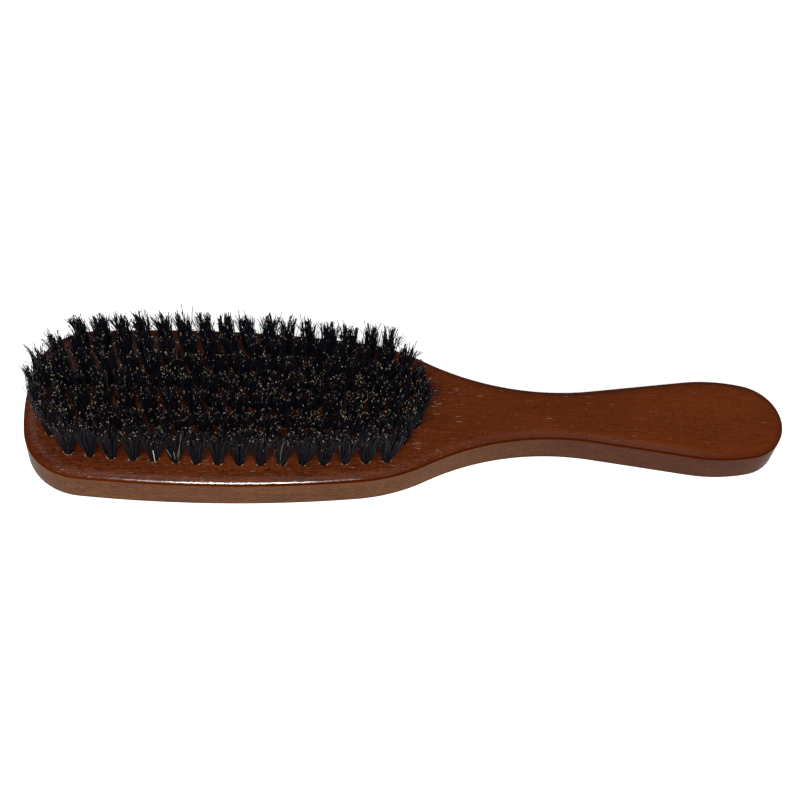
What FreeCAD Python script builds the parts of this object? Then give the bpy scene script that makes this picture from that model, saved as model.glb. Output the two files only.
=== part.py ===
"""A long-handled wooden beard brush with 121 anchored tufts of boar bristle.

The board lies flat with the bristles up.  The origin is on the underside, at
the middle of the board's length and width.  +X runs from the head to the
handle, +Y across the board and +Z out of the bristle face.  Lengths are in
millimetres and angles in degrees.
"""
import FreeCAD, Part
import math
import os
from FreeCAD import Placement, Rotation, Vector

# Board
overall_length = 220.0
board_thickness = 11.0

# Half outline of the board, walked from the middle of the head's end along one
# flank to the handle's end.  Each bend is an arc of a radius and a turn.
head_end_radius = 65.4
head_end_turn = 9.6
head_corner_radius = 17.5
head_corner_turn = 75.4
head_flank_radius = 385.0
head_flank_turn = 11.6
shoulder_radius = 53.4
shoulder_turn = 22.5
neck_radius = 77.3
neck_turn = 37.7
handle_corner_radius = 48.2
handle_corner_turn = 21.7

# Edges of the board: the bristle face rolls down softly to a crisp arris
roll_radius = 7.5
roll_width = 3.5
arris_radius = 0.4
underside_round = 0.8

# Field of tufts: seven rows along the board
tufts_in_row = [16, 17, 18, 19, 18, 17, 16]
row_spacing = 6.45
row_bow = 0.12
bow_half_length = 45.0
field_middle_x = -52.5
field_head_end_x = -106.5
field_neck_end_x = 1.75
head_end_setback = 10.6
head_end_power = 2.0
neck_end_setback = 9.45
neck_end_power = 1.6
drilling_skew = 1.1

# Drilled holes
hole_diameter = 2.9
hole_depth = 7.0
drill_point_angle = 118.0

# Tufts
root_clearance = 0.05
root_bottom_gap = 0.1
bristle_height = 15.0
tip_diameter = 5.2
tip_dome_height = 1.4

# Anchors: a flat wire holds each folded tuft and bites into the hole's wall
anchor_width = 3.1
anchor_height = 1.8
anchor_thickness = 0.35
anchor_above_hole_bottom = 1.0
anchor_clearance = 0.02
anchor_angle = 30.0

middle_row = (len(tufts_in_row) - 1) / 2
hole_radius = hole_diameter / 2
hole_bottom_z = board_thickness - hole_depth


def heading_vector(heading):
    """Unit vector in the plane of the board, at an angle from +X."""
    angle = math.radians(heading)
    return Vector(math.cos(angle), math.sin(angle), 0)


def bend(start, heading, radius, turn):
    """Arc from start that turns by turn degrees: to the right, or to the left when turn is negative."""
    side = math.copysign(1.0, turn)
    centre = start + heading_vector(heading - 90 * side) * radius
    middle = centre - heading_vector(heading - turn / 2 - 90 * side) * radius
    end = centre - heading_vector(heading - turn - 90 * side) * radius
    return Part.Arc(start, middle, end).toShape(), end, heading - turn


def half_outline(grow):
    """Edges of the board's left flank, moved outwards by grow, from the head's end to the handle's end."""
    bends = [
        (head_end_radius + grow, head_end_turn),
        (head_corner_radius + grow, head_corner_turn),
        (head_flank_radius + grow, head_flank_turn),
        (shoulder_radius + grow, shoulder_turn),
        (neck_radius - grow, -neck_turn),
    ]
    point = Vector(-overall_length / 2 - grow, 0, 0)
    heading = 90.0
    edges = []
    for radius, turn in bends:
        edge, point, heading = bend(point, heading, radius, turn)
        edges.append(edge)

    # The handle's flank is straight, and as long as the overall length asks for
    corner_radius = handle_corner_radius + grow
    _, corner_end, end_heading = bend(Vector(0, 0, 0), heading, corner_radius, handle_corner_turn)
    slope = math.radians(end_heading)
    closing = (1 + math.sin(slope)) / math.cos(slope)
    reach = overall_length / 2 + grow - point.x - corner_end.x - (point.y + corner_end.y) * closing
    along = heading_vector(heading)
    flank_end = point + along * (reach / (along.x + along.y * closing))
    edges.append(Part.LineSegment(point, flank_end).toShape())

    edge, point, heading = bend(flank_end, heading, corner_radius, handle_corner_turn)
    edges.append(edge)
    edge, point, heading = bend(point, heading, point.y / math.cos(slope), heading + 90)
    edges.append(edge)
    return edges


def outline_face(grow):
    """Face inside the whole outline, moved outwards by grow."""
    left = half_outline(grow)
    right = [edge.mirror(Vector(0, 0, 0), Vector(0, 1, 0)) for edge in left]
    loop = Part.Wire(Part.__sortEdges__(left + right))
    return Part.Face(loop)


def edges_at_height(shape, height):
    """Edges of shape that lie in the level plane at height."""
    found = []
    for edge in shape.Edges:
        box = edge.BoundBox
        if abs(box.ZMin - height) < 0.001 and abs(box.ZMax - height) < 0.001:
            found.append(edge)
    return found


def board_blank():
    """The board before drilling, with its rolled top edge, crisp arris and rounded underside."""
    # The roll is the inner part of a full round on a larger board
    larger = outline_face(roll_radius - roll_width).extrude(Vector(0, 0, board_thickness))
    rounded = larger.makeFillet(roll_radius, edges_at_height(larger, board_thickness))
    straight = outline_face(0).extrude(Vector(0, 0, board_thickness))
    board = straight.common(rounded).removeSplitter().Solids[0]
    arris_z = board_thickness - roll_radius + math.sqrt(roll_radius**2 - roll_width**2)
    board = board.makeFillet(arris_radius, edges_at_height(board, arris_z))
    return board.makeFillet(underside_round, edges_at_height(board, 0))


def row_places(row):
    """Centres of a row's holes, from the head's end to the neck, at the height of the bristle face."""
    count = tufts_in_row[row]
    offset = (row - middle_row) / middle_row
    shift = drilling_skew * (offset + 1) / 2
    first = field_head_end_x + head_end_setback * abs(offset) ** head_end_power + shift
    last = field_neck_end_x - neck_end_setback * abs(offset) ** neck_end_power + shift
    places = []
    for index in range(count):
        x = first + (last - first) * index / (count - 1)
        bow = row_bow * ((x - field_middle_x) / bow_half_length) ** 2
        y = (row - middle_row) * row_spacing * (1 - bow)
        places.append(Vector(x, y, board_thickness))
    return places


def at_place(shape, place):
    """A copy of shape moved from the axis of Z to the place of a hole."""
    moved = shape.copy()
    moved.translate(Vector(place.x, place.y, 0))
    return moved


def anchor_block(clearance):
    """Flat wire of an anchor at the bottom of a hole on the axis of Z, larger by clearance all round."""
    width = anchor_width + 2 * clearance
    thickness = anchor_thickness + 2 * clearance
    height = anchor_height + 2 * clearance
    low_z = hole_bottom_z + anchor_above_hole_bottom - clearance
    block = Part.makeBox(width, thickness, height, Vector(-width / 2, -thickness / 2, low_z))
    block.rotate(Vector(0, 0, 0), Vector(0, 0, 1), anchor_angle)
    return block


def hole_tool():
    """Drilled blind hole with its drill point and the two nicks that the anchor's ends make."""
    point_depth = hole_radius / math.tan(math.radians(drill_point_angle / 2))
    bore = Part.makeCylinder(hole_radius, hole_depth + 1, Vector(0, 0, hole_bottom_z))
    point = Part.makeCone(0, hole_radius, point_depth, Vector(0, 0, hole_bottom_z - point_depth))
    return bore.fuse([point, anchor_block(anchor_clearance)]).removeSplitter()


def tuft():
    """Folded tuft on the axis of Z: a round root in the hole and a clump that spreads to its domed tips."""
    root_radius = hole_radius - root_clearance
    root_z = hole_bottom_z + root_bottom_gap
    tip_radius = tip_diameter / 2
    tip_z = board_thickness + bristle_height
    shoulder_z = tip_z - tip_dome_height
    profile = [
        Part.LineSegment(Vector(0, 0, root_z), Vector(root_radius, 0, root_z)),
        Part.LineSegment(Vector(root_radius, 0, root_z), Vector(root_radius, 0, board_thickness)),
        Part.LineSegment(Vector(root_radius, 0, board_thickness), Vector(tip_radius, 0, shoulder_z)),
        Part.LineSegment(Vector(tip_radius, 0, shoulder_z), Vector(tip_radius / 2, 0, tip_z)),
        Part.LineSegment(Vector(tip_radius / 2, 0, tip_z), Vector(0, 0, tip_z)),
        Part.LineSegment(Vector(0, 0, tip_z), Vector(0, 0, root_z)),
    ]
    face = Part.Face(Part.Wire([line.toShape() for line in profile]))
    clump = face.revolve(Vector(0, 0, 0), Vector(0, 0, 1), 360)
    return Part.Solid(clump.Shells[0]).cut(anchor_block(anchor_clearance)).Solids[0]


def export(name, solids):
    """Write one node: one solid, or a group of separate solids."""
    shape = solids[0] if len(solids) == 1 else Part.makeCompound(solids)
    for solid in solids:
        assert solid.isValid() and solid.Volume > 0, name
    shape.exportStep("parts/" + name + ".step")
    volume = sum(solid.Volume for solid in solids)
    print(name, len(solids), "solids", round(volume, 1), "mm3")


def main():
    os.makedirs("parts", exist_ok=True)
    rows = [row_places(row) for row in range(len(tufts_in_row))]
    drill = hole_tool()
    holes = [at_place(drill, place) for places in rows for place in places]
    export("wooden_body", board_blank().cut(holes).Solids)

    one_tuft = tuft()
    one_anchor = anchor_block(0)
    for number, places in enumerate(rows, 1):
        export("tuft_row_%d" % number, [at_place(one_tuft, place) for place in places])
        export("anchor_row_%d" % number, [at_place(one_anchor, place) for place in places])


main()
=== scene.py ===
import math

import bmesh
import bpy
import numpy as np
from mathutils import Matrix, Vector, geometry


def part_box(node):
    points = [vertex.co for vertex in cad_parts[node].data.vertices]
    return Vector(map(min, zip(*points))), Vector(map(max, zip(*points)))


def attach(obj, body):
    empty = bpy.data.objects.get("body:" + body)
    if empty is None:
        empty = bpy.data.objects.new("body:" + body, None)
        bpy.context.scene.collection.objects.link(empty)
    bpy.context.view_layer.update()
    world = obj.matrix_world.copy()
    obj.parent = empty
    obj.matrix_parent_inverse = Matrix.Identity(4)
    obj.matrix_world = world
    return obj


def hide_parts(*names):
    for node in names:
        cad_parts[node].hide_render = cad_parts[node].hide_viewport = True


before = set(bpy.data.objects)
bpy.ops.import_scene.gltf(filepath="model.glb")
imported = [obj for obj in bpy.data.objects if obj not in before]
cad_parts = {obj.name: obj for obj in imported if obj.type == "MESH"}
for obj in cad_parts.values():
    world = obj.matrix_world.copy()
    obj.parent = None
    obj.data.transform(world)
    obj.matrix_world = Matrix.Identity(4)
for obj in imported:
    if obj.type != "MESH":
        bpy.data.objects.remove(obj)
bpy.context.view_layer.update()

MM = 0.001
BODY = "root"
SEED = 20261117

# ---- Sizes read from the frame ----
BOARD_LOW, BOARD_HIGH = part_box("wooden_body")
FACE_Z = BOARD_HIGH.z
LENGTH = (BOARD_HIGH.x - BOARD_LOW.x) / MM
TUFT_ROWS = sorted(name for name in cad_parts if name.startswith("tuft_row_"))
TIP_Z = max(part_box(name)[1].z for name in TUFT_ROWS)
BRISTLE_HEIGHT = TIP_Z - FACE_Z
ANCHOR_LOW_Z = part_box("anchor_row_1")[0].z
ANCHOR_HIGH_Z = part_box("anchor_row_1")[1].z

# ---- Board: the CAD's outline, edge profile and holes, in millimetres and degrees ----
BENDS = ((65.4, 9.6), (17.5, 75.4), (385.0, 11.6), (53.4, 22.5), (77.3, -37.7))
HANDLE_BEND = (48.2, 21.7)
ROLL_RADIUS = 7.5
ROLL_WIDTH = 3.5
ARRIS_RADIUS = 0.4
UNDERSIDE_ROUND = 0.8
HOLE_RADIUS = 1.45
HOLE_DEPTH = 7.0
DRILL_POINT = math.radians(118)
ANCHOR_ANGLE = math.radians(30)

# ---- How fine the board's mesh is: longest step in millimetres, turn of a step, rows and sides ----
LONGEST_STEP = 1.3
STEP_TURN = math.radians(1.8)
UNDERSIDE_ROWS = 6
WALL_ROWS = 6
ARRIS_ROWS = 9
ROLL_ROWS = 11
HOLE_SIDES = 40
CRISP_TURN = math.radians(20)

# ---- Hair of one tuft ----
HAIRS_PER_TUFT = 56
HAIR_SIDES = 4
HAIR_RADIUS = 0.118 * MM
DARK_TIP_RADIUS = 0.098 * MM
PALE_TIP_RADIUS = 0.068 * MM
ROOT_RADIUS = 1.22 * MM
TIP_SPREAD = 2.30 * MM
FAN = (1.10, 0.88)
FRONT_FAN = (1.42, 0.92)
BACK_NARROWING = 0.16
CLUMPS = 27
CLUMP_SCATTER = 0.17 * MM
CLUMP_KICK = 0.66 * MM
HAIR_KICK = 0.28 * MM
SPLAYED_SHARE = 0.07
ROOT_HALF_TURN = 1.45
TIP_REACH = (0.75, 1.1)
THICKNESS = (0.75, 1.2)
SPLAY = (0.8, 2.6)
GOLDEN_ANGLE = math.radians(137.5)
CLUMP_SHIFT = 0.22 * MM
CLUMP_FLARE = 0.16
LENGTH_SPREAD = 0.9 * MM
STUBBY_SHARE = 0.10
STUBBY_LOSS = (1.0, 6.0)
TIP_DROP = 0.25 * MM
LEAST_RISE = 0.4
BOW = 0.34 * MM
HAIR_STATIONS = np.array([1.0, 0.982, 0.968, 0.86, 0.68, 0.46, 0.24, 0.0])
SPLIT_SHARE = 0.31
# Share of pale split tips on the back row, kept low as painted shade on the back rows' tips
BACK_ROW_SHADED_SPLIT_SHARE = 0.06
FORKED_SHARE = 0.28
TIP_PALENESS = 0.20
PALENESS_POWER = 1.7
ALL_PALE_SHARE = 0.003
SPLIT_LENGTH = 0.30 * MM
SPLIT_RADIUS = 0.045 * MM
SPLIT_TAPER = (1.0, 0.9, 0.6)
SPLIT_SIDES = 3
SPLIT_OVERLAP = 0.12 * MM
SPLIT_OPENING = (0.10, 0.30)
STRAY_RADIUS = 0.10 * MM
STRAY_STATIONS = 14
STRAY_ROOT = 0.86
STRAY_BOTTOM = 5 * MM

# ---- How far a tuft's tips lean, and how much more those of the back row do ----
FIELD_MIDDLE = 52 * MM
NECKWARD_FROM = 45 * MM
LEAN = 0.50
BACK_LEAN = -1.25
LEAN_ALONG = 0.006
BACK_LEAN_ALONG = 0.004
LEAN_ACROSS = 0.03
BACK_LEAN_ACROSS = 0.35 * MM
NECKWARD_LEAN = 0.025
LEAN_SPREAD = 0.30 * MM

# ---- Chips at a hole's mouth: places round it in degrees, reach in radians, width in millimetres ----
CHIP_SIDES = (212, 234, 306, 328)
CHIP_REACH = (0.08, 0.32)
CHIP_WIDTH = (0.02, 0.14)
CHIP_STEPS = 7

# ---- Camera: degrees, metres, a point of the board in millimetres, and the lens for a 36 mm sensor ----
CAMERA_TURNS = (-7.895, 54.694, 8.162)
CAMERA_DISTANCE = 0.41763
CAMERA_TARGET = (-2.382, 10.934, 0)
CAMERA_LENS = 62.622
SENSOR_WIDTH = 36.0

# Colour of the dim air that lights the brush from all round
AIR = (0.045, 0.045, 0.048)

# Single hairs that stand out: row, tuft, place on the root's rim in degrees, where the tip goes from
# the root in millimetres, how far along the hair starts to show pale and how pale it is
STRAYS = (
    (6, 5, 100, (-1.6, 4.2, 14.2), 0.9, 0.10),
    (6, 5, 60, (0.8, 3.6, 14.2), 0.9, 0.10),
    (6, 9, 60, (2.9, 3.4, 13.4), 0.9, 0.10),
    (6, 11, 120, (-2.4, 3.2, 13.6), 0.9, 0.10),
    (3, 18, 0, (4.3, 0.2, 8.6), 0.95, 0.05),
    (2, 17, -20, (4.4, -1.6, 7.6), 0.95, 0.05),
    (0, 4, -75, (0.2, -2.2, 9.0), 0.0, 0.95),
    (0, 5, -105, (-1.3, -2.2, 10.0), 0.4, 0.20),
    (0, 5, -80, (0.0, -2.5, 9.5), 0.35, 0.24),
    (0, 5, -60, (1.0, -2.3, 10.0), 0.45, 0.18),
    (0, 8, 10, (3.9, -0.4, 10.6), 0.95, 0.05),
    (0, 2, 170, (-3.4, -0.6, 11.0), 0.95, 0.05),
    (0, 11, -20, (3.6, -0.8, 7.4), 0.95, 0.05),
)


# ---------------------------------------------------------------- small helpers

def new_object(name, mesh):
    piece = bpy.data.objects.new(name, mesh)
    bpy.context.scene.collection.objects.link(piece)
    return piece


def mesh_from_arrays(name, points, quads, triangles=()):
    """A mesh from numpy arrays of points and of four- and three-cornered faces."""
    mesh = bpy.data.meshes.new(name)
    faces = [tuple(face) for face in np.asarray(quads).tolist()]
    faces += [tuple(face) for face in np.asarray(triangles).tolist()]
    mesh.from_pydata(points.tolist(), [], faces)
    mesh.polygons.foreach_set("use_smooth", [True] * len(mesh.polygons))
    mesh.update()
    return mesh


def point_attribute(mesh, name, values):
    layer = mesh.attributes.new(name, "FLOAT", "POINT")
    layer.data.foreach_set("value", np.asarray(values, np.float32).ravel())


# ---------------------------------------------------------------- node helpers

class Nodes:
    """Short calls for building one material's node tree."""

    def __init__(self, name):
        self.material = bpy.data.materials.new(name)
        self.material.use_nodes = True
        self.tree = self.material.node_tree
        self.tree.nodes.clear()
        self.output = self.tree.nodes.new("ShaderNodeOutputMaterial")

    def add(self, kind, inputs=None, **settings):
        node = self.tree.nodes.new(kind)
        for key, value in settings.items():
            setattr(node, key, value)
        for key, value in (inputs or {}).items():
            self.feed(node.inputs[key], value)
        return node

    def feed(self, socket, value):
        if isinstance(value, bpy.types.NodeSocket):
            self.tree.links.new(value, socket)
        else:
            socket.default_value = value

    def millimetres(self, scale):
        """Object coordinates in millimetres, divided by scale along each axis."""
        place = self.add("ShaderNodeTexCoord").outputs["Object"]
        factors = tuple(1000.0 / s for s in scale)
        return self.add("ShaderNodeMapping", {"Vector": place, "Scale": factors}).outputs["Vector"]

    def maths(self, operation, a, b):
        return self.add("ShaderNodeMath", {0: a, 1: b}, operation=operation).outputs[0]

    def split(self, vector):
        return self.add("ShaderNodeSeparateXYZ", {"Vector": vector}).outputs

    def grey(self, value):
        """A colour with one value in all its channels."""
        if isinstance(value, float):
            return (value, value, value, 1.0)
        return self.add("ShaderNodeCombineXYZ", {"X": value, "Y": value, "Z": value}).outputs[0]

    def weighted(self, middle, parts):
        """A sum of values, each about a half, that is middle where all of them are a half."""
        total = None
        for value, weight in parts:
            middle -= weight / 2
            part = self.maths("MULTIPLY", value, weight)
            total = part if total is None else self.maths("ADD", total, part)
        return self.maths("ADD", total, middle)

    def noise(self, vector, detail=2.0, roughness=0.5):
        inputs = {"Vector": vector, "Scale": 1.0, "Detail": detail, "Roughness": roughness}
        return self.add("ShaderNodeTexNoise", inputs).outputs["Fac"]

    def ramp(self, value, low, high, to_low=0.0, to_high=1.0, smooth=True):
        kind = "SMOOTHSTEP" if smooth else "LINEAR"
        inputs = {"Value": value, "From Min": low, "From Max": high, "To Min": to_low, "To Max": to_high}
        return self.add("ShaderNodeMapRange", inputs, interpolation_type=kind).outputs["Result"]

    def mix(self, share, a, b, kind="MIX"):
        node = self.add("ShaderNodeMix", data_type="RGBA", blend_type=kind)
        self.feed(node.inputs[0], share)
        self.feed(node.inputs[6], a)
        self.feed(node.inputs[7], b)
        return node.outputs[2]

    def bump(self, height, strength, distance):
        inputs = {"Height": height, "Strength": strength, "Distance": distance}
        return self.add("ShaderNodeBump", inputs).outputs["Normal"]

    def surface(self, **inputs):
        shader = self.add("ShaderNodeBsdfPrincipled", inputs)
        self.tree.links.new(shader.outputs[0], self.output.inputs["Surface"])
        return self.material


def colour(red, green, blue):
    return (red, green, blue, 1.0)


# ---------------------------------------------------------------- materials

def lacquered_wood():
    """Stained hardwood under a clear lacquer: straight grain, short pores with painted glints, a redder
    arris, and painted light and shade on the walls, the roll and the underside.
    """
    n = Nodes("lacquered_wood")
    place = n.millimetres((1, 1, 1))
    x, _, z = n.split(place)
    top = FACE_Z / MM

    # The grain wanders gently, so the coordinates are bent before they are stretched
    wander = n.noise(n.millimetres((60, 25, 25)), detail=1.0)
    shift = n.maths("MULTIPLY", n.maths("SUBTRACT", wander, 0.5), 6.0)
    across = n.add("ShaderNodeCombineXYZ", {"Y": shift}).outputs[0]
    bent = n.add("ShaderNodeVectorMath", {0: place, 1: across}, operation="ADD").outputs[0]

    def stretched(along, over):
        inputs = {"Vector": bent, "Scale": (1 / along, 1 / over, 1 / over)}
        return n.add("ShaderNodeMapping", inputs).outputs["Vector"]

    upward = n.ramp(n.split(n.add("ShaderNodeNewGeometry").outputs["Normal"])[2], 0.10, 0.80)
    broad = n.noise(stretched(40, 11), detail=2.0)
    streak = n.noise(stretched(15, 0.55), detail=3.0, roughness=0.6)
    fibre = n.noise(stretched(2.6, 0.26), detail=2.0, roughness=0.6)
    speckle = n.noise(stretched(0.8, 0.40), detail=1.0)
    tone = n.weighted(0.0, ((broad, 0.45), (streak, 0.60), (fibre, 0.75), (speckle, 0.60)))
    gain = n.mix(upward, n.grey(1.5), n.grey(n.ramp(x, 28, -20, 0.90, 2.40)))
    tone = n.maths("ADD", n.maths("MULTIPLY", tone, gain), 0.5)
    wood = n.mix(tone, colour(0.034, 0.0058, 0.0011), colour(0.124, 0.0257, 0.0050))

    # The stain is deeper on the head than on the handle, and browner on the walls; the walls also carry
    # painted light, lighter on the head and darker toward the handle
    along = n.ramp(x, -60, 90)
    faces = n.mix(along, colour(0.82, 0.84, 0.96), colour(1.07, 1.06, 0.92))
    depth = n.ramp(x, -20, 60)
    walls = n.mix(depth, colour(1.08, 1.84, 2.28), colour(0.60, 0.78, 0.95))
    wood = n.mix(1.0, wood, n.mix(upward, walls, faces), "MULTIPLY")

    # Pores: short open vessels cut lengthwise, most of them dark; the pale dashes in them are painted glints
    # of light
    def pores(along, over, width, share):
        cells = n.add("ShaderNodeTexVoronoi", {"Vector": stretched(along, over), "Scale": 1.0,
                                                "Randomness": 1.0})
        inside = n.ramp(cells.outputs["Distance"], width, width * 0.45)
        chosen = n.add("ShaderNodeSeparateColor", {"Color": cells.outputs["Color"]}).outputs[0]
        return n.maths("MULTIPLY", inside, n.maths("LESS_THAN", chosen, share))

    coarse = n.ramp(x, 32, -12, 0.45, 1.0)
    glint_clusters = n.maths("MULTIPLY", n.ramp(n.noise(stretched(16, 3), detail=1.0), 0.38, 0.60), coarse)
    dark_pore = pores(4.2, 0.40, 0.30, n.maths("MULTIPLY", coarse, 0.50))
    faint = n.maths("MULTIPLY", pores(5.0, 0.30, 0.22, n.maths("MULTIPLY", glint_clusters, 0.50)), 0.35)
    strong = pores(6.5, 0.36, 0.21, n.maths("MULTIPLY", glint_clusters, 0.34))
    beads = n.ramp(n.noise(stretched(0.55, 0.30), detail=1.0), 0.36, 0.58, 0.12, 1.0)
    specks = n.maths("MULTIPLY", pores(1.6, 0.32, 0.20, n.maths("MULTIPLY", glint_clusters, 0.30)), 0.55)
    pore_glint = n.maths("MAXIMUM", specks, n.maths("MULTIPLY", n.maths("MAXIMUM", faint, strong), beads))
    glint_on_top = n.maths("MULTIPLY", upward, n.ramp(x, 60, 15, 0.60, 1.0))
    pore_glint = n.maths("MULTIPLY", pore_glint, glint_on_top)
    wood = n.mix(n.maths("MULTIPLY", dark_pore, 0.60), wood, colour(0.020, 0.0036, 0.0012))
    # Painted highlight: pale dashes stand in for glints of light in the pores, more and brighter toward the
    # head
    wood = n.mix(n.maths("MULTIPLY", pore_glint, 0.80), wood, colour(0.42, 0.29, 0.23))

    # Painted shade: the colour is darker and bluer along the roll near the arris, more so toward the handle
    rolled = n.maths("MULTIPLY", n.ramp(z, top - 0.08, top - 0.45), upward)
    rolled = n.maths("MULTIPLY", rolled, n.ramp(x, -70, 60))
    wood = n.mix(rolled, wood, n.mix(1.0, wood, colour(0.70, 0.74, 0.90), "MULTIPLY"))

    # A clear orange line along the arris, where the coat is left off; its colour is painted darker from the
    # head toward the handle, as painted shade
    arris = n.maths("MULTIPLY", n.ramp(z, top - 1.38, top - 1.28), n.ramp(z, top - 0.62, top - 0.76))
    arris_shaded_colour = n.mix(n.ramp(x, -95, -25), colour(0.062, 0.0085, 0.0001), colour(0.040, 0.0046, 0.0001))
    wood = n.mix(arris, wood, arris_shaded_colour)
    # Painted shade: darker toward the underside, a painted contact shadow along the foot of the walls and on
    # the underside
    wood = n.mix(n.ramp(z, 1.10, 0.80, 0.0, 0.70), wood, colour(0.012, 0.0060, 0.0040))

    # It lies thick on the bristle face and thin on the walls
    coat = n.ramp(upward, 0.0, 1.0, 0.20, 1.0, smooth=False)
    coat = n.maths("MULTIPLY", coat, n.maths("SUBTRACT", 1.0, arris))

    relief = n.maths("SUBTRACT", n.maths("MULTIPLY", streak, 0.5), dark_pore)
    under = n.bump(n.maths("SUBTRACT", relief, pore_glint), 0.30, 0.00010)
    film = n.weighted(0.0, ((fibre, 0.7), (speckle, 1.0), (dark_pore, -0.6)))
    over = n.bump(film, 0.11, 0.00006)
    rough = n.ramp(fibre, 0.3, 0.7, 0.45, 0.60)
    return n.surface(**{"Base Color": wood, "Roughness": rough, "Normal": under, "IOR": 1.45,
                        "Specular IOR Level": 0.0, "Coat Weight": coat, "Coat Roughness": 0.08,
                        "Coat IOR": 1.5, "Coat Normal": over})


def bristle_material():
    """Blue-black hog hair, a little browner on some hairs, with pale split tips."""
    n = Nodes("boar_bristle")
    tone = n.add("ShaderNodeAttribute", attribute_name="tone").outputs["Fac"]
    pale = n.add("ShaderNodeAttribute", attribute_name="paleness").outputs["Fac"]
    scale = n.noise(n.millimetres((0.25, 0.25, 0.6)), detail=2.0)
    dark = n.mix(n.ramp(tone, 0.70, 1.0), colour(0.0029, 0.0027, 0.0058), colour(0.0160, 0.0140, 0.0170))
    dark = n.mix(n.ramp(scale, 0.45, 0.75, 0.0, 0.5), dark, colour(0.0070, 0.0062, 0.0110))
    cream = n.mix(tone, colour(0.88, 0.79, 0.58), colour(0.62, 0.48, 0.25))
    hair = n.mix(pale, dark, cream)
    rough = n.maths("ADD", n.ramp(tone, 0.62, 0.80, 0.42, 0.18), n.maths("MULTIPLY", scale, 0.10))
    bump = n.bump(scale, 0.25, 0.00003)
    return n.surface(**{"Base Color": hair, "Roughness": rough, "Normal": bump, "IOR": 1.5,
                        "Specular IOR Level": 0.16})


def raw_wood():
    """Bare, torn wood at the mouth of a drilled hole."""
    n = Nodes("raw_wood")
    fibre = n.noise(n.millimetres((0.6, 0.09, 0.09)), detail=3.0)
    wood = n.mix(fibre, colour(0.22, 0.10, 0.025), colour(0.75, 0.50, 0.20))
    return n.surface(**{"Base Color": wood, "Roughness": n.ramp(fibre, 0.2, 0.8, 0.55, 0.75),
                        "Normal": n.bump(fibre, 0.5, 0.00005)})


def anchor_steel():
    """Flat drawn steel wire with faint draw marks."""
    n = Nodes("anchor_steel")
    marks = n.noise(n.millimetres((0.05, 0.05, 1.5)), detail=2.0)
    metal = n.mix(marks, colour(0.42, 0.42, 0.43), colour(0.62, 0.61, 0.60))
    return n.surface(**{"Base Color": metal, "Metallic": 1.0,
                        "Roughness": n.ramp(marks, 0.2, 0.8, 0.28, 0.45),
                        "Normal": n.bump(marks, 0.2, 0.00002)})


def floor_material():
    """Pale matt sweep with a faint unevenness."""
    n = Nodes("pale_floor")
    cloud = n.noise(n.millimetres((160, 160, 160)), detail=2.0)
    paper = n.mix(cloud, colour(0.70, 0.70, 0.70), colour(0.72, 0.72, 0.72))
    return n.surface(**{"Base Color": paper, "Roughness": 0.9, "Emission Color": colour(1, 1, 1),
                        "Emission Strength": 0.5})


# ---------------------------------------------------------------- board

def toward(heading):
    return np.array([math.cos(heading), math.sin(heading)])


def flank():
    """Points of the board's left flank and the directions out of it, from the head's end to the handle's."""
    points, outward = [np.array([-LENGTH / 2, 0.0])], [np.array([-1.0, 0.0])]

    def arc(start, heading, radius, turn):
        side = math.copysign(1.0, turn)
        centre = start + toward(heading - math.pi / 2 * side) * radius
        steps = math.ceil(max(abs(turn) / STEP_TURN, radius * abs(turn) / LONGEST_STEP))
        made = []
        for i in range(1, steps + 1):
            now = heading - turn * i / steps
            made.append((centre - toward(now - math.pi / 2 * side) * radius, toward(now + math.pi / 2)))
        return made, heading - turn

    heading = math.pi / 2
    for radius, turn in BENDS:
        made, heading = arc(points[-1], heading, radius, math.radians(turn))
        points += [point for point, _ in made]
        outward += [out for _, out in made]

    # The straight stretch of the handle's flank is as long as the overall length asks for
    radius, turn = HANDLE_BEND[0], math.radians(HANDLE_BEND[1])
    bend, slope = arc(np.zeros(2), heading, radius, turn)
    closing = (1 + math.sin(slope)) / math.cos(slope)
    (end_x, end_y), (start_x, start_y) = bend[-1][0], points[-1]
    reach = LENGTH / 2 - start_x - end_x - (start_y + end_y) * closing
    way = toward(heading)
    run = reach / (way[0] + way[1] * closing)
    steps = math.ceil(run / LONGEST_STEP)
    start = points[-1]
    for i in range(1, steps + 1):
        points.append(start + way * run * i / steps)
        outward.append(toward(heading + math.pi / 2))
    bend, heading = arc(points[-1], heading, radius, turn)
    last, _ = arc(bend[-1][0], heading, bend[-1][0][1] / math.cos(heading), heading + math.pi / 2)
    for point, out in bend + last:
        points.append(point)
        outward.append(out)
    return np.array(points), np.array(outward)


def edge_profile():
    """Inset, height and lean of the normal from straight up, from the underside to the bristle face."""
    top = FACE_Z / MM
    rows = []
    for lean in np.linspace(math.pi, math.pi / 2, UNDERSIDE_ROWS):
        rows.append((UNDERSIDE_ROUND * (1 - math.sin(lean)), UNDERSIDE_ROUND * (1 + math.cos(lean)), lean))
    reach = ROLL_RADIUS - ARRIS_RADIUS
    over = ROLL_WIDTH - ARRIS_RADIUS
    arris_z = top - ROLL_RADIUS + math.sqrt(reach**2 - over**2)
    for z in np.linspace(UNDERSIDE_ROUND, arris_z, WALL_ROWS)[1:-1]:
        rows.append((0.0, z, math.pi / 2))
    meet = math.asin(over / reach)
    for lean in np.linspace(math.pi / 2, meet, ARRIS_ROWS)[:-1]:
        rows.append((ARRIS_RADIUS * (1 - math.sin(lean)), arris_z + ARRIS_RADIUS * math.cos(lean), lean))
    for lean in np.linspace(meet, 0, ROLL_ROWS):
        inset = ROLL_WIDTH - ROLL_RADIUS * math.sin(lean)
        rows.append((inset, top - ROLL_RADIUS * (1 - math.cos(lean)), lean))
    return rows


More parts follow.
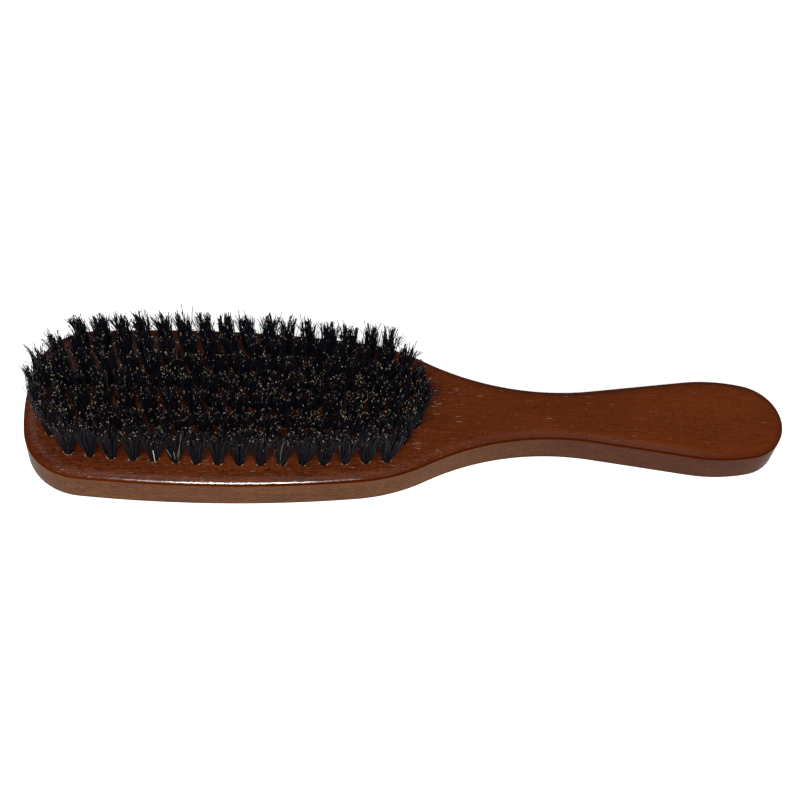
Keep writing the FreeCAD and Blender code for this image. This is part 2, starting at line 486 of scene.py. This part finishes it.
def fill(loops, keep):
    """Triangles, counterclockwise from above, that fill closed loops.

    Gives the points, the triangles, and each point's number in the loops.  A point where two loops
    cross has None for its number."""
    points = [Vector(point) for loop in loops for point in loop]
    edges, first = [], 0
    for loop in loops:
        edges += [(first + i, first + (i + 1) % len(loop)) for i in range(len(loop))]
        first += len(loop)
    made, _, faces, origins, _, _ = geometry.delaunay_2d_cdt(points, edges, [], 1, 1e-7)
    triangles = []
    for face in faces:
        a, b, c = (made[i] for i in face)
        if keep((a + b + c) / 3):
            triangles.append(face if (b - a).cross(c - a) > 0 else face[::-1])
    return made, triangles, [origin[0] if origin else None for origin in origins]


class Board:
    """The drilled board: the CAD's shape with a finer mesh and exact normals on its curved surfaces."""

    def __init__(self):
        left, left_out = flank()
        self.ring = np.concatenate([left, left[-2:0:-1] * (1, -1)])
        self.out = np.concatenate([left_out, left_out[-2:0:-1] * (1, -1)])
        self.top = FACE_Z / MM
        self.holes = np.concatenate([tuft_places(node) for node in TUFT_ROWS]) / MM
        self.points, self.faces, self.normals, self.finish = [], [], [], []

    def add_face(self, corners, normals, finish=0):
        self.faces.append(tuple(corners))
        self.normals += [tuple(normal) for normal in normals]
        self.finish.append(finish)

    def face_normal_and_height(self, place):
        """Direction and height of the rolled bristle face above a point of the plan."""
        near = np.argsort(np.hypot(*(self.ring - place).T))[:2]
        weight = 1 / (np.hypot(*(self.ring[near] - place).T) + 1e-9)
        out = (self.out[near] * weight[:, None]).sum(0)
        out /= np.hypot(*out)
        inset = float(((self.ring[near[0]] - place) * self.out[near[0]]).sum())
        lean = math.asin(min(max((ROLL_WIDTH - inset) / ROLL_RADIUS, 0.0), 1.0))
        z = self.top - ROLL_RADIUS * (1 - math.cos(lean))
        return (out[0] * math.sin(lean), out[1] * math.sin(lean), math.cos(lean)), z

    def add_sides(self, profile):
        """Rings round the board, from the underside to the arris."""
        count = len(self.ring)
        rows = []
        for inset, z, lean in profile:
            self.points += [(x, y, z) for x, y in self.ring - self.out * inset]
            rows.append(np.column_stack([self.out * math.sin(lean), np.full(count, math.cos(lean))]))
        for k in range(len(profile) - 1):
            for i in range(count):
                j = (i + 1) % count
                corners = (k * count + j, k * count + i, (k + 1) * count + i, (k + 1) * count + j)
                self.add_face(corners, (rows[k][j], rows[k][i], rows[k + 1][i], rows[k + 1][j]))

    def add_underside(self):
        count = len(self.ring)
        _, triangles, numbers = fill([self.ring - self.out * UNDERSIDE_ROUND], lambda middle: True)
        for face in triangles:
            self.add_face([numbers[i] for i in face[::-1]], [(0, 0, -1)] * 3)
        assert len(triangles) == count - 2

    def add_bristle_face(self, profile, first):
        """The rolled and flat top, from the arris's ring inwards, with the holes' mouths left open."""
        turns = 2 * math.pi * np.arange(HOLE_SIDES) / HOLE_SIDES
        circle = np.column_stack([np.cos(turns), np.sin(turns)]) * HOLE_RADIUS
        rings = [self.ring - self.out * inset for inset, _, _ in profile]
        count = len(self.ring)

        def solid(middle):
            return np.min(np.hypot(*(self.holes - np.array(middle)).T)) > HOLE_RADIUS * 0.99

        made, triangles, numbers = fill(rings + [place + circle for place in self.holes], solid)
        index, normal = {}, {}
        for i in sorted({i for face in triangles for i in face}):
            number = numbers[i]
            if number is not None and number < count * len(rings):
                row, station = divmod(number, count)
                lean = profile[row][2]
                out = self.out[station] * math.sin(lean)
                normal[i], z = (out[0], out[1], math.cos(lean)), profile[row][1]
            else:
                normal[i], z = self.face_normal_and_height(np.array(made[i]))
            if number is not None and number < count:
                index[i] = first + number
            else:
                index[i] = len(self.points)
                self.points.append((made[i].x, made[i].y, z))
        edges = set()
        for face in triangles:
            self.add_face([index[i] for i in face], [normal[i] for i in face])
            edges |= {(index[face[k]], index[face[(k + 1) % 3]]) for k in range(3)}
        return [(a, b) for a, b in edges if (b, a) not in edges]

    def add_bores(self, open_edges):
        """Bare walls and drill points below the holes' mouths."""
        floor_z = self.top - HOLE_DEPTH
        tip_z = floor_z - HOLE_RADIUS / math.tan(DRILL_POINT / 2)
        steep, shallow = math.cos(DRILL_POINT / 2), math.sin(DRILL_POINT / 2)
        flat = np.array(self.points)[:, :2]
        edges = sorted(open_edges)
        starts = flat[[a for a, _ in edges]]
        for place in self.holes:
            around = [edges[i] for i in np.nonzero(np.hypot(*(starts - place).T) < HOLE_RADIUS * 1.01)[0]]
            below = {}
            for a, _ in around:
                below[a] = len(self.points)
                self.points.append((*flat[a], floor_z))
            tip = len(self.points)
            self.points.append((*place, tip_z))
            for a, b in around:
                inward = [(place - flat[v]) / HOLE_RADIUS for v in (a, b)]
                wall = [(*inward[k], 0) for k in (0, 1, 1, 0)]
                self.add_face((b, a, below[a], below[b]), (wall[1], wall[0], wall[3], wall[2]), 1)
                cone = [(*(v * steep), shallow) for v in inward]
                self.add_face((below[b], below[a], tip), (cone[1], cone[0], (0, 0, 1)), 1)

    def build(self, wood, bare):
        profile = edge_profile()
        roll = len(profile) - ROLL_ROWS
        self.add_sides(profile[:roll + 1])
        self.add_underside()
        self.add_bores(self.add_bristle_face(profile[roll:], roll * len(self.ring)))

        mesh = bpy.data.meshes.new("drilled_board")
        mesh.from_pydata((np.array(self.points) * MM).tolist(), [], self.faces)
        mesh.materials.append(wood)
        mesh.materials.append(bare)
        mesh.polygons.foreach_set("use_smooth", [True] * len(self.faces))
        mesh.polygons.foreach_set("material_index", self.finish)
        mesh.update()
        mark_sharp(mesh)
        mesh.normals_split_custom_set([Vector(n).normalized() for n in self.normals])
        piece = new_object("drilled_board", mesh)
        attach(piece, BODY)
        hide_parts("wooden_body")


def mark_sharp(mesh):
    """Keep the edges of the holes crisp, where the surface turns sharply."""
    shape = bmesh.new()
    shape.from_mesh(mesh)
    for edge in shape.edges:
        edge.smooth = edge.calc_face_angle(0) < CRISP_TURN
    shape.to_mesh(mesh)
    shape.free()


# ---------------------------------------------------------------- bristles

def tuft_places(node):
    """Middle of each tuft of a CAD row, from the head's end to the neck.

    They are found from the tufts' roots, which are far enough apart along X to be told from one another."""
    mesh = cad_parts[node].data
    points = np.empty(len(mesh.vertices) * 3)
    mesh.vertices.foreach_get("co", points)
    points = points.reshape(-1, 3)
    roots = points[points[:, 2] < FACE_Z - 1 * MM]
    roots = roots[np.argsort(roots[:, 0])]
    breaks = np.nonzero(np.diff(roots[:, 0]) > 2 * MM)[0] + 1
    return np.array([(group.min(0) + group.max(0)) / 2 for group in np.split(roots, breaks)])[:, :2]


def half_disc(rng, count, direction):
    """Random places in the half of a tuft's root that lies on one side of its anchor."""
    angle = direction + rng.uniform(-ROOT_HALF_TURN, ROOT_HALF_TURN, count)
    radius = ROOT_RADIUS * np.sqrt(rng.uniform(0.05, 1.0, count))
    return np.stack([radius * np.cos(angle), radius * np.sin(angle)], 1)


def sway(t):
    """How far a hair has gone from its root's place to its tip's, and how far its kick shows."""
    return 1 - (1 - t) ** 1.7, np.clip((t - 0.55) / 0.45, 0, None) ** 1.6


def hair_ends(rng, root, lean, fan, clumps, kicks):
    """Stations from each hair's tip to the bristle face, for one side of a tuft about its middle."""
    count = len(root)
    wanted = root * fan * (TIP_SPREAD / ROOT_RADIUS) * rng.uniform(*TIP_REACH, (count, 1))
    chosen = np.argmin(np.linalg.norm(wanted[:, None] - clumps[None], axis=2), axis=1)
    tip = clumps[chosen] + rng.normal(0, CLUMP_SCATTER, (count, 2))
    kick = kicks[chosen] + rng.normal(0, HAIR_KICK, (count, 2))
    splayed = rng.uniform(size=count) < SPLAYED_SHARE
    outward = root / np.linalg.norm(root, axis=1, keepdims=True)
    kick += np.where(splayed[:, None], outward * rng.uniform(*SPLAY, (count, 1)) * MM, 0)
    short = np.abs(rng.normal(0, LENGTH_SPREAD, count))
    stubby = rng.uniform(size=count) < STUBBY_SHARE
    short += np.where(stubby, rng.uniform(*STUBBY_LOSS, count) * MM, 0)
    reach = np.linalg.norm(tip + kick - root, axis=1)
    length = BRISTLE_HEIGHT - short
    height = np.sqrt(np.maximum(length**2 - reach**2, (LEAST_RISE * length)**2)) - TIP_DROP
    t = HAIR_STATIONS[None, :, None]
    spread, late = sway(t)
    bow = rng.normal(0, BOW, (count, 1, 2))
    path = root[:, None] + (tip - root)[:, None] * spread + kick[:, None] * late
    path = path + bow * 4 * t * (1 - t) + lean * t**1.5
    z = FACE_Z + height[:, None] * HAIR_STATIONS[None]
    return np.concatenate([path, z[:, :, None]], 2)


def tuft_hairs(rng, place, lean, fan):
    """Centre lines of one tuft's hairs: each goes down from a tip, under the anchor and up again."""
    count = HAIRS_PER_TUFT
    normal = ANCHOR_ANGLE + math.pi / 2
    root_a = half_disc(rng, count, normal)
    root_b = half_disc(rng, count, normal + math.pi)
    angle = GOLDEN_ANGLE * np.arange(CLUMPS) + rng.uniform(0, 2 * math.pi)
    radius = TIP_SPREAD * np.sqrt((np.arange(CLUMPS) + 0.5) / CLUMPS)
    clumps = np.stack([radius * np.cos(angle), radius * np.sin(angle)], 1)
    clumps = clumps * fan + rng.normal(0, CLUMP_SHIFT, (CLUMPS, 2))
    kicks = rng.normal(0, CLUMP_KICK, (CLUMPS, 2)) + clumps * CLUMP_FLARE
    end_a = hair_ends(rng, root_a, lean, fan, clumps, kicks)
    end_b = hair_ends(rng, root_b, lean, fan, clumps, kicks)

    def below(root, share, z):
        flat = root * share
        return np.concatenate([flat, np.broadcast_to(z, (count,))[:, None]], 1)[:, None]

    depth = np.hypot(*root_a.T) / ROOT_RADIUS
    fold_z = ANCHOR_LOW_Z - (0.15 + 0.6 * depth) * MM
    middle = (root_a + root_b) / 2
    parts = [
        end_a,
        below(root_a, 1.0, ANCHOR_HIGH_Z),
        below(root_a, 0.9, ANCHOR_LOW_Z),
        below(middle, 1.0, fold_z),
        below(root_b, 0.9, ANCHOR_LOW_Z),
        below(root_b, 1.0, ANCHOR_HIGH_Z),
        end_b[:, ::-1],
    ]
    lines = np.concatenate(parts, 1)
    lines[:, :, :2] += place
    return lines


def stray_hairs(row, places):
    """Centre lines of a row's stray hairs, from tip to root, and how pale each is along its length."""
    lines, pale = [], []
    steps = np.linspace(1, 0, STRAY_STATIONS)
    for number, tuft, turn, (dx, dy, rise), start, shade in STRAYS:
        if number != row:
            continue
        angle = math.radians(turn)
        root = places[tuft] + toward(angle) * HOLE_RADIUS * STRAY_ROOT * MM
        flat = root + np.outer(steps**1.2, (dx * MM, dy * MM))
        z = FACE_Z + rise * MM * steps - STRAY_BOTTOM * (steps == 0)
        lines.append(np.column_stack([flat, z]))
        pale.append(np.where(steps >= start, shade, 0.0))
    return np.array(lines), np.array(pale)


def tubes(lines, radii, sides):
    """Points, quads and end triangles of closed tapering tubes along many centre lines at once."""
    count, stations = lines.shape[:2]
    tangent = np.gradient(lines, axis=1)
    tangent /= np.linalg.norm(tangent, axis=2, keepdims=True) + 1e-12
    chord = lines[:, -1] - lines[:, 0]
    flat = np.stack([-chord[:, 1], chord[:, 0], np.zeros(count)], 1)
    flat += (np.abs(flat).sum(1, keepdims=True) < 1e-7) * np.array([1.0, 0, 0])
    flat /= np.linalg.norm(flat, axis=1, keepdims=True)
    first = flat[:, None] - tangent * np.sum(tangent * flat[:, None], 2, keepdims=True)
    first /= np.linalg.norm(first, axis=2, keepdims=True) + 1e-12
    second = np.cross(tangent, first)
    turn = 2 * math.pi * np.arange(sides) / sides
    ring = first[:, :, None] * np.cos(turn)[:, None] + second[:, :, None] * np.sin(turn)[:, None]
    rings = lines[:, :, None] + ring * radii[:, :, None, None]
    ends = np.stack([lines[:, 0] - tangent[:, 0] * radii[:, :1],
                     lines[:, -1] + tangent[:, -1] * radii[:, -1:]], 1)
    per_line = stations * sides + 2
    points = np.concatenate([rings.reshape(count, -1, 3), ends], 1).reshape(-1, 3)

    k = np.arange(sides)
    after = (k + 1) % sides
    s = np.arange(stations - 1)[:, None] * sides
    quads = np.stack([s + k, s + after, s + sides + after, s + sides + k], 2).reshape(-1, 4)
    last = (stations - 1) * sides
    caps = np.concatenate([
        np.stack([np.full(sides, per_line - 2), after, k], 1),
        np.stack([np.full(sides, per_line - 1), last + k, last + after], 1),
    ])
    offset = (np.arange(count) * per_line)[:, None, None]
    return points, (quads[None] + offset).reshape(-1, 4), (caps[None] + offset).reshape(-1, 3)


def spread_values(values, sides):
    """A value for each station of each line, given to that station's ring and the end points."""
    rings = np.repeat(values, sides, axis=1)
    return np.concatenate([rings, values[:, :1], values[:, -1:]], 1).ravel()


def paleness_of(rng, count, stations, split_share):
    """How pale each hair is at each station: some have a pale split tip, and a few are pale all along."""
    pale = np.zeros((count, stations))
    for tip, near in ((0, 1), (stations - 1, stations - 2)):
        split = rng.uniform(size=count) < split_share
        bright = TIP_PALENESS + (1 - TIP_PALENESS) * rng.uniform(0, 1, count) ** PALENESS_POWER
        pale[:, tip] = np.where(split, bright, 0.0)
        pale[:, near] = pale[:, tip] * rng.uniform(0.0, 0.2, count)
    whole = rng.uniform(size=count) < ALL_PALE_SHARE
    pale[whole] = rng.uniform(0.06, 0.35, (int(whole.sum()), 1))
    return pale


def split_ends(rng, lines, pale):
    """Two fine split ends at some of the pale tips: their lines, and how pale they are."""
    made, tones = [], []
    for tip, near in ((0, 1), (-1, -2)):
        chosen = (pale[:, tip] > 0.02) & (rng.uniform(size=len(lines)) < FORKED_SHARE)
        start_at = lines[chosen, tip]
        along = start_at - lines[chosen, near]
        along /= np.linalg.norm(along, axis=1, keepdims=True)
        turn = rng.uniform(0, 2 * math.pi, len(along))
        for side in (-1, 1):
            aside = np.stack([np.cos(turn), np.sin(turn), np.zeros(len(turn))], 1) * side
            aside *= rng.uniform(*SPLIT_OPENING, (len(along), 1)) * MM
            start = start_at - along * SPLIT_OVERLAP
            end = start_at + along * SPLIT_LENGTH * rng.uniform(0.3, 1.0, (len(along), 1)) + aside
            middle = (start + end) / 2 + aside * 0.1
            made.append(np.stack([start, middle, end], 1))
            tones.append(pale[chosen, tip])
    return np.concatenate(made), np.concatenate(tones)


class Hairs:
    """Gathers tubes with their paleness and tone, and makes one mesh of them."""

    def __init__(self):
        self.points, self.quads, self.caps, self.pale, self.tone = [], [], [], [], []
        self.count = 0

    def add(self, lines, radii, sides, pale, tone):
        points, quads, caps = tubes(lines, radii, sides)
        self.points.append(points)
        self.quads.append(quads + self.count)
        self.caps.append(caps + self.count)
        self.pale.append(spread_values(pale, sides))
        self.tone.append(spread_values(tone * np.ones(pale.shape), sides))
        self.count += len(points)

    def mesh(self, name):
        made = mesh_from_arrays(name, np.concatenate(self.points), np.concatenate(self.quads),
                                np.concatenate(self.caps))
        point_attribute(made, "paleness", np.concatenate(self.pale))
        point_attribute(made, "tone", np.concatenate(self.tone))
        return made


def bristle_row(row, material, rng):
    """One row of tufts as a mesh of separate hairs; back goes from 0 at the front row to 1."""
    node = TUFT_ROWS[row]
    name = node.replace("tuft", "bristle")
    places = tuft_places(node)
    back = row / (len(TUFT_ROWS) - 1)
    fan = FRONT_FAN if row == 0 else (FAN[0] - BACK_NARROWING * back, FAN[1])
    lines = []
    for place in places:
        x, y = place
        neckward = max(x + NECKWARD_FROM, 0)
        spreading = (x + FIELD_MIDDLE) * (LEAN_ALONG + BACK_LEAN_ALONG * back)
        lean = np.array([spreading + (LEAN + BACK_LEAN * back) * MM,
                         y * LEAN_ACROSS - (neckward * NECKWARD_LEAN + BACK_LEAN_ACROSS) * back])
        lean += rng.normal(0, LEAN_SPREAD, 2)
        lines.append(tuft_hairs(rng, place, lean, fan))
    lines = np.concatenate(lines)
    count, stations = lines.shape[:2]
    inner = stations - 2 * len(HAIR_STATIONS)
    share = np.concatenate([HAIR_STATIONS, np.zeros(inner), HAIR_STATIONS[::-1]])
    thick = rng.uniform(*THICKNESS, (count, 1))
    # Painted shade: the share of pale split tips falls steeply toward the back rows, so those tips look less
    # lit
    split_share = SPLIT_SHARE + (BACK_ROW_SHADED_SPLIT_SHARE - SPLIT_SHARE) * back**3
    pale = paleness_of(rng, count, stations, split_share)
    first_half = np.arange(stations) < stations / 2
    tip_pale = np.where(first_half[None], pale[:, :1], pale[:, -1:])
    tip_radius = np.where(tip_pale > 0, PALE_TIP_RADIUS, DARK_TIP_RADIUS)
    radii = (HAIR_RADIUS + (tip_radius - HAIR_RADIUS) * share[None] ** 2) * thick

    hairs = Hairs()
    hairs.add(lines, radii, HAIR_SIDES, pale, rng.uniform(size=(count, 1)))
    ends, end_pale = split_ends(rng, lines, pale)
    end_radii = np.array([SPLIT_TAPER]) * SPLIT_RADIUS * np.ones((len(ends), 1))
    shades = end_pale[:, None] * np.ones((1, len(SPLIT_TAPER)))
    hairs.add(ends, end_radii, SPLIT_SIDES, shades, rng.uniform(size=(len(ends), 1)))
    strays, stray_pale = stray_hairs(row, places)
    if len(strays):
        hairs.add(strays, np.full(strays.shape[:2], STRAY_RADIUS), HAIR_SIDES, stray_pale, 0.2)

    mesh = hairs.mesh(name)
    mesh.materials.append(material)
    piece = new_object(name, mesh)
    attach(piece, BODY)
    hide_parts(node)


# ---------------------------------------------------------------- hole mouths

def hole_chips(material, rng):
    """Torn bare wood at each hole's mouth, where the drill cut across the grain."""
    hole_radius = HOLE_RADIUS * MM
    points, faces = [], []
    for node in TUFT_ROWS:
        for x, y in tuft_places(node):
            for side in (*CHIP_SIDES, rng.uniform(0, 360)):
                reach = rng.uniform(*CHIP_REACH)
                width = rng.uniform(*CHIP_WIDTH) * MM
                turn = math.radians(side + rng.normal(0, 12))
                start = len(points)
                for i in range(CHIP_STEPS):
                    share = i / (CHIP_STEPS - 1) * 2 - 1
                    angle = turn + share * reach
                    body = math.cos(share * math.pi / 2) ** 0.8
                    out = width * body * rng.uniform(0.5, 1.2)
                    lift = 0.05 * MM * body
                    for radius, z in ((hole_radius - 0.10 * MM, -0.25 * MM),
                                      (hole_radius - 0.02 * MM, lift),
                                      (hole_radius + out, lift * 0.4),
                                      (hole_radius + out * 1.05, -0.05 * MM)):
                        points.append((x + radius * math.cos(angle), y + radius * math.sin(angle),
                                       FACE_Z + z))
                for i in range(CHIP_STEPS - 1):
                    for k in range(3):
                        a = start + i * 4 + k
                        faces.append((a, a + 1, a + 5, a + 4))
    mesh = mesh_from_arrays("hole_chips", np.array(points), faces)
    mesh.materials.append(material)
    piece = new_object("hole_chips", mesh)
    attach(piece, BODY)


# ---------------------------------------------------------------- stage, light and camera

def give_material(node, material):
    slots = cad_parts[node].data.materials
    slots.clear()
    slots.append(material)


def add_floor():
    half = 3.0
    corners = np.array([(-half, -half, 0), (half, -half, 0), (half, half, 0), (-half, half, 0)])
    mesh = mesh_from_arrays("floor", corners, [(0, 1, 2, 3)])
    mesh.materials.append(floor_material())
    new_object("floor", mesh)


def add_softbox(name, direction, distance, size, radiance, seen_from=(0, 0, 0), shape="RECTANGLE"):
    """Area light seen from a point of the board in a direction, of a given brightness as seen."""
    lamp = bpy.data.lights.new(name, "AREA")
    lamp.shape = shape
    lamp.size, lamp.size_y = size
    lamp.energy = radiance * math.pi * size[0] * size[1]
    piece = bpy.data.objects.new(name, lamp)
    bpy.context.scene.collection.objects.link(piece)
    way = Vector(direction).normalized()
    piece.location = Vector(seen_from) * MM + way * distance
    piece.rotation_mode = "QUATERNION"
    piece.rotation_quaternion = way.to_track_quat("Z", "Y")
    return piece


def add_lights():
    """Three keys that draw the long highlight on the front edge, soft washes and two front boxes."""
    edge = (-47, -26.3, 10.4)
    add_softbox("key", (-0.014, -0.243, 0.969), 0.9, (0.205, 0.07), 40.0, edge, "ELLIPSE")
    add_softbox("key_left", (-0.150, -0.243, 0.957), 0.9, (0.13, 0.045), 9.0, edge, "ELLIPSE")
    add_softbox("key_right", (0.120, -0.243, 0.961), 0.9, (0.11, 0.045), 7.0, edge, "ELLIPSE")

    # Boxes of several sizes behind one another make a wash that fades out softly
    washes = (("back_left", (-0.40, 0.55, 0.74), (0.9, 0.6), 0.14),
              ("overhead", (-0.10, -0.04, 1), (1.6, 1.2, 0.8, 0.45), 0.10))
    for name, direction, sizes, radiance in washes:
        for number, size in enumerate(sizes):
            add_softbox("%s_%d" % (name, number), direction, 1.5 + 0.01 * number, (size, size), radiance,
                        shape="ELLIPSE")
    add_softbox("front_left", (-0.12, -0.62, 0.77), 1.5, (0.80, 0.80), 11.9)
    add_softbox("front_right", (0.38, -0.62, 0.66), 1.5, (0.88, 0.88), 3.3)


def add_world():
    """Dim studio air with a white backdrop behind whatever the camera sees."""
    world = bpy.data.worlds.new("studio")
    world.use_nodes = True
    tree = world.node_tree
    tree.nodes.clear()
    output = tree.nodes.new("ShaderNodeOutputWorld")
    path = tree.nodes.new("ShaderNodeLightPath")
    mix = tree.nodes.new("ShaderNodeMixShader")
    air = tree.nodes.new("ShaderNodeBackground")
    air.inputs["Color"].default_value = colour(*AIR)
    backdrop = tree.nodes.new("ShaderNodeBackground")
    backdrop.inputs["Color"].default_value = colour(1, 1, 1)
    tree.links.new(path.outputs["Is Camera Ray"], mix.inputs[0])
    tree.links.new(air.outputs[0], mix.inputs[1])
    tree.links.new(backdrop.outputs[0], mix.inputs[2])
    tree.links.new(mix.outputs[0], output.inputs["Surface"])
    bpy.context.scene.world = world


def add_camera():
    """Camera above the front of the brush, tipped so that the brush lies level in the picture."""
    azimuth, elevation, roll = map(math.radians, CAMERA_TURNS)
    target = Vector(CAMERA_TARGET) * MM
    back = Vector((math.sin(azimuth) * math.cos(elevation), -math.cos(azimuth) * math.cos(elevation),
                   math.sin(elevation)))
    data = bpy.data.cameras.new("camera")
    data.sensor_width = SENSOR_WIDTH
    data.lens = CAMERA_LENS
    data.clip_start = 0.01
    data.clip_end = 50.0
    camera = bpy.data.objects.new("camera", data)
    bpy.context.scene.collection.objects.link(camera)
    facing = (-back).to_track_quat("-Z", "Y").to_matrix()
    camera.matrix_world = Matrix.Translation(target + back * CAMERA_DISTANCE) @ (
        facing @ Matrix.Rotation(roll, 3, "Z")).to_4x4()
    bpy.context.scene.camera = camera


def main():
    rng = np.random.default_rng(SEED)
    add_camera()
    bare = raw_wood()
    Board().build(lacquered_wood(), bare)
    steel = anchor_steel()
    for number in range(1, len(TUFT_ROWS) + 1):
        give_material("anchor_row_%d" % number, steel)
    hair = bristle_material()
    for row in range(len(TUFT_ROWS)):
        bristle_row(row, hair, rng)
    hole_chips(bare, rng)

    add_floor()
    add_world()
    add_lights()
    bpy.context.scene.view_settings.view_transform = "Standard"


main()
